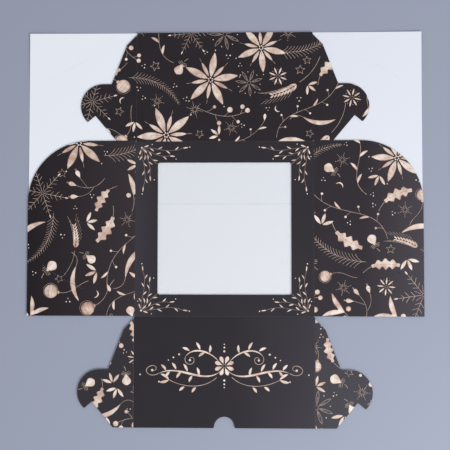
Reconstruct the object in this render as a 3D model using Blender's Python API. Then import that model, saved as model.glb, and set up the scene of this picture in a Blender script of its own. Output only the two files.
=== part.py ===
"""Cupcake box: a die-cut carton blank with a window, lying folded flat.

The blank is built in its own plane, inside face up, as a tree of panels. Each panel's
origin sits on the crease that joins it to its holder, its X axis points away from that
crease, and turning it about its own Y axis folds it. The back crease is turned by half
a turn, which lays the lid half over the tray half.

Lengths are metres. X is the width, +Y points at the back crease, +Z is up, and the
origin is under the middle of the folded blank, on the surface that it lies on.
"""

import math

import bpy
import bmesh
from mathutils import Vector

# Board and film
board_thickness = 0.00045
film_thickness = 0.0002
clearance = 0.0003

# Tray half
base_width = 0.160
base_depth = 0.158
wall_height = 0.100

# Lid half
lid_depth = 0.160
lid_front_height = 0.100
lid_flap_length = 0.099
lid_flap_radius = 0.0565
lid_flap_relief = 0.0007
lid_flap_overhang = 0.001

# Frame that the lid leaves round its window, and the film's overlap on that frame
window_side_margin = 0.0206
window_back_margin = 0.0195
window_front_margin = 0.0201
window_radius = 0.002
film_overlap = 0.008

# Thumb notch in the lid's front edge
notch_radius = 0.0093
notch_depth = 0.0102
notch_flare = 0.0012

# Locking ear: reach is measured out from its crease, height along the crease
ear_root_height = 0.002
ear_shoulder_reach = 0.0092
ear_shoulder_height = 0.0114
ear_shoulder_radius = 0.002
ear_neck_reach = 0.0232
ear_neck_height = 0.0475
ear_lobe_radius = 0.0205
ear_tip_turn = math.radians(46)
ear_tip_radius = 0.0009
ear_hook_reach = 0.038
ear_hook_height = 0.0768
ear_hook_radius = 0.0008
ear_heel_reach = 0.0188

# Locking slit: a knife cut that heads from beside the ear's neck for its hook, bends before
# it gets there and runs out past it. The tray's front slits have a shorter run-out.
slit_width = 0.0003
slit_stand_off = 0.002
slit_bend_share = 0.84
slit_runout_height = 0.0074
slit_runout_depth = 0.0084
front_runout_share = 0.5

# How far a cutter stands out of the board on each side
cut_overrun = 0.002

# Steps in a quarter turn of each kind of curve
flap_steps = 16
lobe_steps = 14
notch_steps = 10
corner_steps = 5
slit_steps = 8

# Each layer of the closed box's side stands one board and one clearance further out
layer_step = board_thickness + clearance
back_width = base_width + 2 * layer_step
lid_width = back_width + 2 * layer_step
lid_front_width = lid_width + 2 * layer_step
back_height = wall_height + layer_step

# Between the two halves lies the film, with a clearance on each side of it
layer_gap = film_thickness + 2 * clearance
back_axis_lift = layer_gap / 2

# The lid lifts towards its printed face, so it turns on that face and not on the inside
lid_axis_lift = -board_thickness

# Half of the gap that each crease keeps between its two panels
crease_inset = clearance / 2

blank_reach = back_height + lid_depth + lid_front_height
back_crease_y = (blank_reach + crease_inset) / 2

quarter_turn = math.pi / 2
half_turn = math.pi

print_black = (0.036, 0.032, 0.042)
front_black = (0.046, 0.043, 0.052)
inside_white = (0.79, 0.81, 0.86)
film_clear = (0.80, 0.84, 0.86)


def clear_scene():
    for item in list(bpy.data.objects):
        bpy.data.objects.remove(item, do_unlink=True)


def make_material(name, colour, roughness, alpha=1.0):
    material = bpy.data.materials.new(name)
    material.use_nodes = True
    shader = material.node_tree.nodes["Principled BSDF"]
    shader.inputs["Base Color"].default_value = (*colour, 1.0)
    shader.inputs["Roughness"].default_value = roughness
    shader.inputs["Metallic"].default_value = 0.0
    shader.inputs["Alpha"].default_value = alpha
    return material


def arc(centre, radius, start, end, steps_per_quarter):
    """Points of a round stretch, both ends included."""
    steps = max(2, math.ceil(steps_per_quarter * abs(end - start) / quarter_turn))
    points = []
    for step in range(steps + 1):
        angle = start + (end - start) * step / steps
        reach = (math.cos(angle) * radius, math.sin(angle) * radius)
        points.append((centre[0] + reach[0], centre[1] + reach[1]))
    return points


def rounded_corner(before, corner, after, radius, steps_per_quarter=corner_steps):
    """The arc that rounds one corner of an outline, shortened where its sides are short."""
    corner = Vector(corner)
    back = Vector(before) - corner
    ahead = Vector(after) - corner
    half_angle = back.angle(ahead) / 2
    run = min(radius / math.tan(half_angle), back.length / 2, ahead.length / 2)
    radius = run * math.tan(half_angle)
    middle = (back.normalized() + ahead.normalized()).normalized()
    centre = corner + middle * (radius / math.sin(half_angle))
    first = corner + back.normalized() * run - centre
    last = corner + ahead.normalized() * run - centre
    start = math.atan2(first.y, first.x)
    turn = math.atan2(first.cross(last), first.dot(last))
    return arc(centre, radius, start, start + turn, steps_per_quarter)


def plate_mesh(name, outline, low, high):
    """A closed plate between two heights, with its faces pointing out."""
    sheet = bmesh.new()
    corners = [sheet.verts.new((x, y, low)) for x, y in outline]
    floor = sheet.faces.new(corners)
    raised = bmesh.ops.extrude_face_region(sheet, geom=[floor])
    top = [item for item in raised["geom"] if isinstance(item, bmesh.types.BMVert)]
    bmesh.ops.translate(sheet, verts=top, vec=(0, 0, high - low))
    bmesh.ops.recalc_face_normals(sheet, faces=sheet.faces)
    mesh = bpy.data.meshes.new(name)
    sheet.to_mesh(mesh)
    sheet.free()
    return mesh


def place(name, mesh, holder, spot, heading=0.0, fold=0.0):
    """Put an object on its crease: heading turns it in the blank's plane, fold lifts it."""
    piece = bpy.data.objects.new(name, mesh)
    bpy.context.scene.collection.objects.link(piece)
    piece.parent = holder
    piece.location = spot
    piece.rotation_euler = (0, -fold, heading)
    return piece


def add_panel(name, outline, holder, spot, heading, colour, fold=0.0, axis_lift=0.0):
    """A board panel whose inside face lies axis_lift below the axis that it turns on."""
    inside = -axis_lift
    mesh = plate_mesh(name, outline, inside - board_thickness, inside)
    mesh.materials.append(make_material(name, colour, roughness=0.55))
    return place(name, mesh, holder, spot, heading, fold)


def cut(panel, label, outline, inside=0.0):
    """Cut an outline right through a panel."""
    low = inside - board_thickness - cut_overrun
    name = f"{panel.name}_{label}"
    cutter = place(name, plate_mesh(name, outline, low, inside + cut_overrun), panel, (0, 0, 0))
    cutter.hide_render = True
    cutter.display_type = "WIRE"
    modifier = panel.modifiers.new(label, "BOOLEAN")
    modifier.operation = "DIFFERENCE"
    modifier.solver = "EXACT"
    modifier.object = cutter


def wall_outline(reach, width, far_inset=0.0):
    """A square-cornered panel, centred on its crease."""
    side = width / 2 - crease_inset
    far = reach - far_inset
    return [(crease_inset, -side), (far, -side), (far, side), (crease_inset, side)]


def ear_outline(height, side):
    """A locking ear that hangs on the full height of its panel's side crease.

    From the root the edge slopes out over a rounded shoulder to the neck. The lobe swings
    round to the tip, and the hook cuts back in under it. side is 1 or -1, for an ear whose
    height runs along +Y or -Y.
    """
    root = (crease_inset, ear_root_height)
    shoulder = (ear_shoulder_reach, ear_shoulder_height)
    neck = (ear_neck_reach, ear_neck_height)
    # The lobe's top is level with the neck, and its hook side ends beyond the hook's apex
    lobe_centre = (ear_hook_reach - ear_lobe_radius * math.cos(ear_tip_turn) / 2,
                   ear_neck_height + ear_lobe_radius)
    lobe = arc(lobe_centre, ear_lobe_radius, -quarter_turn, ear_tip_turn, lobe_steps)
    hook = (ear_hook_reach, ear_hook_height)
    heel = (ear_heel_reach, height - crease_inset)

    points = [root]
    points += rounded_corner(root, shoulder, neck, ear_shoulder_radius)
    points.append(neck)
    points += lobe[:-1]
    points += rounded_corner(lobe[-2], lobe[-1], hook, ear_tip_radius)
    points += rounded_corner(lobe[-1], hook, heel, ear_hook_radius)
    points += [heel, (crease_inset, height - crease_inset)]
    return [(reach, along * side) for reach, along in points]


def slit_path(runout_share):
    """The slit's middle line, as (height up the wall, depth in from the wall's end).

    It sets off beside the neck of the ear that it takes and curves away at the end, so
    that the hook can't slide back out.
    """
    start = Vector((ear_neck_height, ear_neck_reach + slit_stand_off))
    hook = Vector((ear_hook_height, ear_hook_reach))
    end = hook + Vector((slit_runout_height, slit_runout_depth)) * runout_share
    bend = start.lerp(hook, slit_bend_share)
    path = []
    for step in range(slit_steps + 1):
        share = step / slit_steps
        path.append(start.lerp(bend, share).lerp(bend.lerp(end, share), share))
    return path


def slit_outline(to_panel, runout_share=1.0):
    """A narrow closed outline round the slit's middle line, in the panel's own places."""
    half_width = slit_width / 2
    path = slit_path(runout_share)
    left, right = [], []
    for number, point in enumerate(path):
        ahead = path[min(number + 1, len(path) - 1)] - path[max(number - 1, 0)]
        across = Vector((-ahead.y, ahead.x)).normalized() * half_width
        left.append(to_panel(point + across))
        right.append(to_panel(point - across))
    return left + right[::-1]


def add_ears(holder, names, width, height, colour, lift=0.0):
    """The pair of ears on a panel's two sides, the one on its +Y side first."""
    for name, side in zip(names, (1, -1)):
        spot = (0, side * width / 2, -lift)
        add_panel(name, ear_outline(height, -side), holder, spot, side * quarter_turn, colour)


def build_tray():
    outline = [(x, y - base_depth / 2) for y, x in wall_outline(base_depth, base_width, crease_inset)]
    spot = (0, back_crease_y - base_depth / 2, board_thickness)
    base = add_panel("base_panel", outline, None, spot, 0.0, inside_white)

    wall = wall_outline(wall_height, base_depth)
    wall_end = base_depth / 2
    for name, side, heading in (("base_right_wall", 1, 0.0), ("base_left_wall", -1, half_turn)):
        spot = (side * base_width / 2, 0, 0)
        panel = add_panel(name, wall, base, spot, heading, inside_white)
        # The right wall's own Y axis points at the back, and the left wall's at the front
        slits = (("back_slit", side, 1.0), ("front_slit", -side, front_runout_share))
        for label, end, share in slits:
            outline = slit_outline(lambda p: (p.x, end * (wall_end - p.y)), share)
            cut(panel, label, outline)

    front = add_panel("base_front_wall", wall_outline(wall_height, back_width), base,
                      (0, -wall_end, 0), -quarter_turn, inside_white)
    add_ears(front, ("base_front_right_ear", "base_front_left_ear"), back_width, wall_height,
             inside_white)
    return base


def build_back(base):
    spot = (0, base_depth / 2, back_axis_lift)
    back = add_panel("back_wall", wall_outline(back_height, back_width, crease_inset), base,
                     spot, quarter_turn, print_black, fold=half_turn, axis_lift=back_axis_lift)
    add_ears(back, ("back_left_ear", "back_right_ear"), back_width,
             back_height - lid_flap_overhang, print_black, lift=back_axis_lift)
    return back


def flap_outline(side):
    """A lid side flap: square at the front, rounded at the back.

    It reaches a little past the lid's crease, so that it covers the back wall's cut edge.
    """
    near = crease_inset - lid_flap_overhang
    far = lid_depth - lid_flap_relief
    radius = min(lid_flap_radius, lid_flap_length, far - near)
    points = [(crease_inset, near)]
    points += arc((lid_flap_length - radius, near + radius), radius, -quarter_turn, 0.0, flap_steps)
    points += [(lid_flap_length, far), (crease_inset, far)]
    return [(reach, along * side) for reach, along in points]


def window_outline(grow=0.0, radius=0.0):
    """The window's outline on the lid, or one grown on all sides."""
    low_x = window_back_margin - grow
    high_x = lid_depth - window_front_margin + grow
    side = lid_width / 2 - window_side_margin + grow
    corners = [(low_x, -side), (high_x, -side), (high_x, side), (low_x, side)]
    if not radius:
        return corners
    points = []
    for number, corner in enumerate(corners):
        following = corners[(number + 1) % len(corners)]
        points += rounded_corner(corners[number - 1], corner, following, radius)
    return points


def lid_front_outline():
    """The lid's front, with a half-round thumb notch whose mouth flares into the edge."""
    side = lid_front_width / 2 - crease_inset
    edge = lid_front_height
    centre = edge - notch_depth + notch_radius
    mouth = notch_radius + notch_flare
    points = [(crease_inset, -side), (edge, -side)]
    points += arc((edge - notch_flare, -mouth), notch_flare, 0.0, quarter_turn, corner_steps)
    points += arc((centre, 0.0), notch_radius, -quarter_turn, -3 * quarter_turn, notch_steps)
    points += arc((edge - notch_flare, mouth), notch_flare, -quarter_turn, 0.0, corner_steps)
    points += [(edge, side), (crease_inset, side)]
    return points


def build_lid(back):
    spot = (back_height, 0, lid_axis_lift - back_axis_lift)
    lid = add_panel("lid_panel", wall_outline(lid_depth, lid_width, crease_inset), back, spot, 0.0,
                    print_black, axis_lift=lid_axis_lift)
    inside = -lid_axis_lift
    cut(lid, "window", window_outline(radius=window_radius), inside)

    film_face = inside + clearance
    film = plate_mesh("window_film", window_outline(grow=film_overlap), film_face,
                      film_face + film_thickness)
    film.materials.append(make_material("window_film", film_clear, roughness=0.08, alpha=0.3))
    place("window_film", film, lid, (0, 0, 0))

    for name, side in (("lid_left_flap", 1), ("lid_right_flap", -1)):
        spot = (0, side * lid_width / 2, inside)
        flap = add_panel(name, flap_outline(-side), lid, spot, side * quarter_turn, print_black)
        cut(flap, "slit", slit_outline(lambda p: (p.x, side * (p.y - lid_depth))))

    front = add_panel("lid_front_panel", lid_front_outline(), lid, (lid_depth, 0, inside), 0.0,
                      front_black)
    add_ears(front, ("lid_front_left_ear", "lid_front_right_ear"), lid_front_width,
             lid_front_height, print_black)


def main():
    clear_scene()
    base = build_tray()
    back = build_back(base)
    build_lid(back)


main()
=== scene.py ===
# %% [markdown]
# # A cupcake box, lying folded flat
# The box is one die-cut and creased carton. Its tray half lies below with its white inside up,
# and its lid half lies on top with its near-black print up. The rigid panels come ready made as
# a fixed frame, so this file adds what a plate can't show: the board's finish, the soft creases
# between the panels, the print and the clear film.

# %% Load the frame
import itertools
import math
import random

import bmesh
import bpy
from mathutils import Matrix, Vector
from mathutils.geometry import interpolate_bezier
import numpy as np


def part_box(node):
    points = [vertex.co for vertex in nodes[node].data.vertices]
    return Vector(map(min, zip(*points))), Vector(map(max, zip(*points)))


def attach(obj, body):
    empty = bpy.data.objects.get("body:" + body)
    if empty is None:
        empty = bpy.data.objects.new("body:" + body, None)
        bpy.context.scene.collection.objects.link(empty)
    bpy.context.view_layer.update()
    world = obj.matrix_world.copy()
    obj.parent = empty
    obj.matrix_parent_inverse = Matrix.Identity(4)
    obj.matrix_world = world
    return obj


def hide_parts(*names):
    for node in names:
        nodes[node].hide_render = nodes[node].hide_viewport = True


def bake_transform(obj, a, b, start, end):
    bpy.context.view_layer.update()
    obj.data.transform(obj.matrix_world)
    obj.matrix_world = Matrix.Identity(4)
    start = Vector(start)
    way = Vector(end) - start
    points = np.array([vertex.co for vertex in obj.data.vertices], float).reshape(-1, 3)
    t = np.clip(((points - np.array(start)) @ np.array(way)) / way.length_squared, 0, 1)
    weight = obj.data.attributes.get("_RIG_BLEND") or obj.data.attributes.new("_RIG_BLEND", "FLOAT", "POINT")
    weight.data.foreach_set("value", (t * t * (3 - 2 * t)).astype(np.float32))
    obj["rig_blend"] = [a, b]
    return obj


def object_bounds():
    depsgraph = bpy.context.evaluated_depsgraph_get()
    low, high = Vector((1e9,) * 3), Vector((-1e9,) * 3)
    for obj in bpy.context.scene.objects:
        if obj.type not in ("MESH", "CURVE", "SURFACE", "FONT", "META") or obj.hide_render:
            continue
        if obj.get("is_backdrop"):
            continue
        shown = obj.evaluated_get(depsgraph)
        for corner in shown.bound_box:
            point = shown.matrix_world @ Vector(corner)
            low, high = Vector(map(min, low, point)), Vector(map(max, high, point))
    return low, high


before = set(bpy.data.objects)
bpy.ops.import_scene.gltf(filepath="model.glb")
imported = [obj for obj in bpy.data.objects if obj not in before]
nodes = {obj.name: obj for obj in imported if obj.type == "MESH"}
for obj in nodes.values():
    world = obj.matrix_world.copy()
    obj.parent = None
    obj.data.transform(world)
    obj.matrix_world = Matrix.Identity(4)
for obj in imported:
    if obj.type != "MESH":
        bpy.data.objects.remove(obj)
carton_low, carton_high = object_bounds()
print("carton", [round(v, 5) for v in carton_low], [round(v, 5) for v in carton_high])

# %% [markdown]
# ## Camera
# The photograph looks almost straight down. A camera's place could be guessed and nudged, but
# the flat box gives many straight edges, so its place, turn and lens were solved from them.
# A square picture of 450 points with a 36 mm wide film gives the lens in millimetres.

# %% Camera over the box
picture_points = 450
film_width = 36.0
focal_points = 877.4
camera_spot = (0.0218, -0.0317, 0.8)
camera_turn = (math.radians(2.500), math.radians(1.527), math.radians(0.060))

camera_data = bpy.data.cameras.new("overhead_camera")
camera_data.sensor_width = film_width
camera_data.lens = focal_points * film_width / picture_points
camera = bpy.data.objects.new("overhead_camera", camera_data)
camera.location = camera_spot
camera.rotation_euler = camera_turn
bpy.context.scene.collection.objects.link(camera)
bpy.context.scene.camera = camera
print("lens", round(camera_data.lens, 2), "mm")

# %% [markdown]
# ## Colours
# Colours are noted as they look on screen, from 0 to 255. Blender's materials work with linear
# light, so each one is turned into that scale first.

# %% From screen colours to linear light
def screen_colour(red, green, blue):
    """Undo the curve of a screen's levels, as the sRGB standard gives it."""
    linear = []
    for level in (red, green, blue):
        share = level / 255
        linear.append(share / 12.92 if share <= 0.04045 else ((share + 0.055) / 1.055) ** 2.4)
    return (*linear, 1.0)


board_black = screen_colour(25, 20, 24)
board_white = screen_colour(230, 234, 243)
print("black board", [round(v, 4) for v in board_black])

# %% [markdown]
# ## Table and light
# The box lies on a plain matt table. One large soft lamp at the lower right makes the narrow
# shadows on the upper left, and an even sky fills the rest.

# %% Helpers for objects and finishes
def fill(node, values):
    """Set a node's sockets, given by name, to fixed values."""
    for socket, value in values.items():
        node.inputs[socket].default_value = value


def new_material(name, look):
    """A material and its shader, with the sockets that the look names set."""
    material = bpy.data.materials.new(name)
    material.use_nodes = True
    shader = material.node_tree.nodes["Principled BSDF"]
    fill(shader, look)
    return material, shader


def put(name, sheet, *materials):
    """Turn a finished bmesh into an object at the origin."""
    mesh = bpy.data.meshes.new(name)
    sheet.to_mesh(mesh)
    sheet.free()
    for material in materials:
        mesh.materials.append(material)
    piece = bpy.data.objects.new(name, mesh)
    bpy.context.scene.collection.objects.link(piece)
    return piece


# %% Table
table_size = 6.0
table_drop = 0.0001
table_sheet = bmesh.new()
bmesh.ops.create_grid(table_sheet, x_segments=1, y_segments=1, size=table_size / 2)
bmesh.ops.translate(table_sheet, verts=table_sheet.verts, vec=(0, 0, -table_drop))
table_look = {"Base Color": screen_colour(146, 153, 172), "Roughness": 0.55}
table_finish, _ = new_material("table_finish", table_look)
table = put("table", table_sheet, table_finish)
table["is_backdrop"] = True

# %% Soft studio light
sky_look = {"Color": (1.0, 1.0, 1.0, 1.0), "Strength": 0.66}
lamp_width = 0.7
lamp_power = 13.0
lamp_spot = Vector((0.75, -0.7, 1.0))

sky = bpy.data.worlds.new("studio_sky")
sky.use_nodes = True
fill(sky.node_tree.nodes["Background"], sky_look)
bpy.context.scene.world = sky

lamp_data = bpy.data.lights.new("window_lamp", "AREA")
lamp_data.shape = "RECTANGLE"
lamp_data.size = lamp_width
lamp_data.size_y = lamp_width
lamp_data.energy = lamp_power
lamp = bpy.data.objects.new("window_lamp", lamp_data)
lamp.location = lamp_spot
lamp.rotation_euler = (-lamp_spot).to_track_quat("-Z", "Y").to_euler()
bpy.context.scene.collection.objects.link(lamp)
bpy.context.scene.view_settings.view_transform = "Standard"

# %% [markdown]
# ## Where the creases are
# Two panels meet at a crease, and the plates leave a narrow gap there. The gap could be typed
# in, but it is safer to measure it: the two boxes of the plates stand apart along one axis, and
# the crease runs along the other, over the stretch that both have.

# %% Measure a crease
creased_to = {
    "base_panel": ("base_left_wall", "base_right_wall", "base_front_wall"),
    "base_front_wall": ("base_front_left_ear", "base_front_right_ear"),
    "back_wall": ("back_left_ear", "back_right_ear", "lid_panel"),
    "lid_panel": ("lid_left_flap", "lid_right_flap", "lid_front_panel"),
    "lid_front_panel": ("lid_front_left_ear", "lid_front_right_ear"),
}


def crease_between(first, second):
    """The axis across a crease (0 is X, 1 is Y), its middle, its gap and the stretch it runs."""
    low_a, high_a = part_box(first)
    low_b, high_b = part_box(second)
    for across in (0, 1):
        near = min(high_a[across], high_b[across])
        far = max(low_a[across], low_b[across])
        if far > near:
            along = 1 - across
            start = max(low_a[along], low_b[along])
            end = min(high_a[along], high_b[along])
            return across, (near + far) / 2, far - near, start, end


creases = {(first, second): crease_between(first, second)
           for first, others in creased_to.items() for second in others}
for pair, (across, middle, gap, start, end) in creases.items():
    print(pair, "XY"[across], round(middle, 5), "gap", round(gap, 5), "runs", round(end - start, 4))

# %% [markdown]
# ## Board finish
# The carton is white board with a near-black print on its outer face only, so one panel shows
# three finishes: print, white inside and the pale cut edge. Splitting the mesh would break the
# frame, so the material tells them apart by height: only the outer face reaches the print's
# level. Cloudy noise gives the ink its slight unevenness, fine noise the paper's tooth, and a
# bump along each crease the groove that the creasing rule presses.

# %% Node helpers
def add_node(tree, kind, **settings):
    """Add a node to a material's tree; the tree is also the id_data of each of its sockets."""
    made = tree.nodes.new("ShaderNode" + kind)
    for setting, value in settings.items():
        setattr(made, setting, value)
    return made


def feed(value, socket):
    """Give a socket a fixed value or another node's output."""
    if isinstance(value, bpy.types.NodeSocket):
        socket.id_data.links.new(value, socket)
    else:
        socket.default_value = value


def attribute(tree, name):
    return add_node(tree, "Attribute", attribute_name=name).outputs["Fac"]


def calculate(operation, first, second=0.0):
    made = add_node(first.id_data, "Math", operation=operation)
    feed(first, made.inputs[0])
    feed(second, made.inputs[1])
    return made.outputs[0]


def noise(place, scale, detail):
    made = add_node(place.id_data, "TexNoise")
    fill(made, {"Scale": scale, "Detail": detail})
    feed(place, made.inputs["Vector"])
    return made.outputs[0]


def blend_colours(share, first, second):
    """Mix two colours by the second one's share."""
    made = add_node(share.id_data, "Mix", data_type="RGBA")
    for number, value in ((0, share), (6, first), (7, second)):
        feed(value, made.inputs[number])
    return made.outputs[2]


def stretch(value, low, high, out_low, out_high, smooth=False):
    """Map what lies between low and high onto another range."""
    kind = "SMOOTHSTEP" if smooth else "LINEAR"
    made = add_node(value.id_data, "MapRange", interpolation_type=kind)
    for number, bound in enumerate((value, low, high, out_low, out_high)):
        feed(bound, made.inputs[number])
    return made.outputs[0]


# %% Levels and colours of the board
# a noise node's values lie between 0 and 1, and most of them between these two
noise_spread = (0.35, 0.65)
print_level_slack = 0.00003
crack_half_width = 0.0002
crease_shade_half_width = 0.0012
groove_half_width = 0.0006
groove_depth = 0.00009
tooth_depth = 0.000006
wave_height = 0.0006
wave_scale = 9.0
cloud_scale = 30.0
crack_scale = 420.0
crack_spread = (0.45, 0.62)
crack_strength = 0.8
speckle_scale = 1800.0
board_gloss = 0.5
board_roughness = 0.42
bare_roughness = 0.75
plain_sheen = (0.86, 0.86, 1.0, 1.0)
pattern_sheen = (0.82, 0.76, 0.88, 1.0)
patterned_panels = ("back_wall", "back_left_ear", "back_right_ear", "lid_left_flap", "lid_right_flap")
# no two panels lie at quite the same tilt, so each catches a little more or less of the lamp
panel_gloss = {
    "back_wall": 0.4, "back_left_ear": 0.4, "back_right_ear": 0.45,
    "lid_left_flap": 0.23, "lid_right_flap": 0.52, "lid_front_panel": 0.43,
    "lid_front_left_ear": 0.58, "lid_front_right_ear": 0.74,
}
# painted sheen: the lid's print is painted greyer towards some edges, for the lamp's reflection
# where the board curls; from one share of the panel's width to another, the ink runs greyer
painted_sheen_runs = {
    "lid_left_flap": (0.0, 1.0, screen_colour(49, 43, 47)),
    "lid_right_flap": (0.45, 1.0, screen_colour(54, 50, 56)),
    "lid_panel": (0.16, 0.0, screen_colour(41, 37, 43)),
    "lid_front_panel": (0.55, 1.0, screen_colour(41, 37, 43)),
}
# painted shade: the one white board is a little darker or lighter per panel, darkest on the right wall
painted_shade_whites = {
    "base_panel": screen_colour(226, 232, 240), "base_front_wall": screen_colour(229, 233, 241),
    "base_left_wall": screen_colour(231, 235, 244), "base_right_wall": screen_colour(221, 225, 235),
}
crack_colour = screen_colour(150, 142, 142)
cloud_black = screen_colour(21, 16, 20)
paper_tooth = 0.98
# how dark the painted shade along a crease makes the paper
crease_painted_shade = 0.955

# %% Printed board
def printed_share(height, node, printed_up):
    """1 on the printed face, 0 on the cut edges and the inside."""
    low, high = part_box(node)
    if printed_up:
        return calculate("GREATER_THAN", height, high.z - print_level_slack)
    return calculate("LESS_THAN", height, low.z + print_level_slack)


def nearest_crease(place, node):
    """How far a point is from the panel's nearest crease."""
    nearest = None
    for pair, (across, middle, *_) in creases.items():
        if node in pair:
            offset = calculate("SUBTRACT", place.outputs[across], middle)
            distance = calculate("ABSOLUTE", offset)
            nearest = distance if nearest is None else calculate("MINIMUM", nearest, distance)
    return nearest


def board_finish(node, printed_up, bent=False):
    """The board of one panel, or of a bent copy, whose faces tell themselves if they are printed."""
    sheen = pattern_sheen if node in patterned_panels else plain_sheen
    look = {"Specular IOR Level": panel_gloss.get(node, board_gloss), "Specular Tint": sheen}
    material, shader = new_material(node + ("_bent_board" if bent else "_board"), look)
    tree = material.node_tree
    where = add_node(tree, "TexCoord").outputs["Object"]
    place = add_node(tree, "SeparateXYZ")
    feed(where, place.inputs[0])
    distance = nearest_crease(place, node)

    cloud = stretch(noise(where, cloud_scale, detail=3.0), *noise_spread, 0.0, 1.0)
    ink = blend_colours(cloud, cloud_black, board_black)
    # painted sheen: across the panel the ink runs over to a greyer colour
    if node in painted_sheen_runs:
        *shares, sheen_painted_ink = painted_sheen_runs[node]
        low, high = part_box(node)
        first_x, last_x = (low.x + (high.x - low.x) * share for share in shares)
        run = stretch(place.outputs[0], first_x, last_x, 0.0, 1.0)
        ink = blend_colours(run, ink, sheen_painted_ink)
    crack = stretch(distance, 0.0, crack_half_width, 1.0, 0.0)
    broken = stretch(noise(where, crack_scale, detail=4.0), *crack_spread, 0.0, crack_strength)
    ink = blend_colours(calculate("MULTIPLY", crack, broken), ink, crack_colour)

    # the panel's white, with its painted shade
    white = painted_shade_whites.get(node, board_white)
    speckle = noise(where, speckle_scale, detail=2.0)
    paper = blend_colours(speckle, tuple(level * paper_tooth for level in white), white)
    # painted shade: the paper darkens softly towards each crease
    crease_shade_share = stretch(distance, 0.0, crease_shade_half_width, 1.0, 0.0, smooth=True)
    paper = blend_colours(crease_shade_share, paper, tuple(level * crease_painted_shade for level in white))

    if bent:
        printed = attribute(tree, "printed")
    else:
        printed = printed_share(place.outputs[2], node, printed_up)
    feed(blend_colours(printed, paper, ink), shader.inputs["Base Color"])
    roughness = stretch(printed, 0.0, 1.0, bare_roughness, board_roughness)
    feed(roughness, shader.inputs["Roughness"])

    wave = noise(where, wave_scale, detail=1.0)
    groove = stretch(distance, 0.0, groove_half_width, 0.0, 1.0, smooth=True)
    relief = None
    for height, depth in ((wave, wave_height), (speckle, tooth_depth), (groove, groove_depth)):
        bump = add_node(tree, "Bump")
        fill(bump, {"Strength": 1.0, "Distance": depth})
        feed(height, bump.inputs["Height"])
        if relief is not None:
            feed(relief, bump.inputs["Normal"])
        relief = bump.outputs[0]
    feed(relief, shader.inputs["Normal"])
    return material


# %% Finish every panel
for name, panel in nodes.items():
    if name != "window_film":
        panel.data.materials.clear()
        panel.data.materials.append(board_finish(name, printed_up=not name.startswith("base")))
print("board finishes", len(nodes) - 1)

# %% [markdown]
# ## Lifted corners
# Thin board seldom lies quite flat: the tray's free rear corners stand off the table by about a
# millimetre, which shows as a wider soft shadow. A plate can't bend, so both side walls are shown
# as bent copies. Cuts side by side along one slanting line let the copy rise gently beyond it.
# The locking slits are drawn shut as the knife leaves them, because the frame keeps them open.

# %% Cutting and shutting a sheet
weld_distance = 0.000001
slit_margin = 0.005
slit_shut = 0.12


def cut(sheet, spot, across, clear=False):
    """Cut a sheet along a plane, and clear what lies past it if asked."""
    bmesh.ops.bisect_plane(sheet, geom=list(sheet.verts) + list(sheet.edges) + list(sheet.faces),
                           dist=weld_distance / 10, plane_co=spot, plane_no=across, clear_outer=clear)


def shut_slits(sheet, low, high):
    """Draw the two lips of each slit together: every lip corner faces its nearest neighbour."""
    lips = [corner for corner in sheet.verts
            if low.x + slit_margin < corner.co.x < high.x - slit_margin
            and low.y + slit_margin < corner.co.y < high.y - slit_margin]
    spots = {corner: corner.co.copy() for corner in lips}
    for corner, spot in spots.items():
        level_with = [other for mate, other in spots.items()
                      if mate is not corner and abs(other.z - spot.z) < weld_distance]
        facing = min(level_with, key=lambda other: (other - spot).length)
        middle = (spot + facing) / 2
        corner.co = middle + (spot - middle) * slit_shut


# %% Bent side walls
bend_start = (0.1005, 0.1805)
bend_end = (0.180, 0.120)
bend_ease = 0.006
bend_cuts = 5
corner_lift = 0.0012
sharp_rim = math.radians(30)


def bent_wall(node):
    """Show a side wall as a copy whose free corner is lifted."""
    low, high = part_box(node)
    side = 1 if low.x > 0 else -1
    sheet = bmesh.new()
    sheet.from_mesh(nodes[node].data)
    bmesh.ops.remove_doubles(sheet, verts=sheet.verts, dist=weld_distance)
    printed = sheet.faces.layers.float.new("printed")
    for face in sheet.faces:
        face[printed] = float(face.calc_center_median().z < low.z + print_level_slack)
    shut_slits(sheet, low, high)

    start = Vector((side * bend_start[0], bend_start[1], 0))
    along = Vector((side * bend_end[0], bend_end[1], 0)) - start
    across = Vector((-along.y * side, along.x * side, 0)).normalized()
    for number in range(bend_cuts):
        cut(sheet, start + across * bend_ease * number / (bend_cuts - 1), across)
    reach = max((corner.co - start).dot(across) for corner in sheet.verts)
    for corner in sheet.verts:
        past = max(0.0, (corner.co - start).dot(across))
        rise = min(past, bend_ease) ** 2 / (2 * bend_ease) + max(0.0, past - bend_ease)
        corner.co.z += corner_lift * rise / (reach - bend_ease / 2)
    for face in sheet.faces:
        face.smooth = True
    for edge in sheet.edges:
        edge.smooth = edge.calc_face_angle(0.0) < sharp_rim
    wall = put(node + "_bent", sheet, board_finish(node, printed_up=False, bent=True))
    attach(wall, node)
    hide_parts(node)
    print(wall.name, "reach past the bend", round(reach, 4))


for node in ("base_left_wall", "base_right_wall"):
    bent_wall(node)

# %% [markdown]
# ## Clear film
# A glued film closes the window from the inside. Glass would bend the light and darken what lies
# under it, and a real film is too thin for that, so the finish is a nearly clear, glossy skin:
# the alpha lets the white board show, and the low roughness keeps the lamp's soft reflection.

# %% Film over the window
film_look = {"Base Color": screen_colour(238, 237, 239), "Roughness": 0.08, "Alpha": 0.2, "IOR": 1.47}
film_finish, _ = new_material("clear_film", film_look)
film = nodes["window_film"]
film.data.materials.clear()
film.data.materials.append(film_finish)

# %% [markdown]
# ## Creases
# At a crease the board is not cut: it is pressed thin and bends like a hinge. Each gap between
# two plates is closed by a narrow strip of board, pressed into a groove on the printed side and
# a low bead on the inside, and the strip bends as its panels fold.

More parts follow.
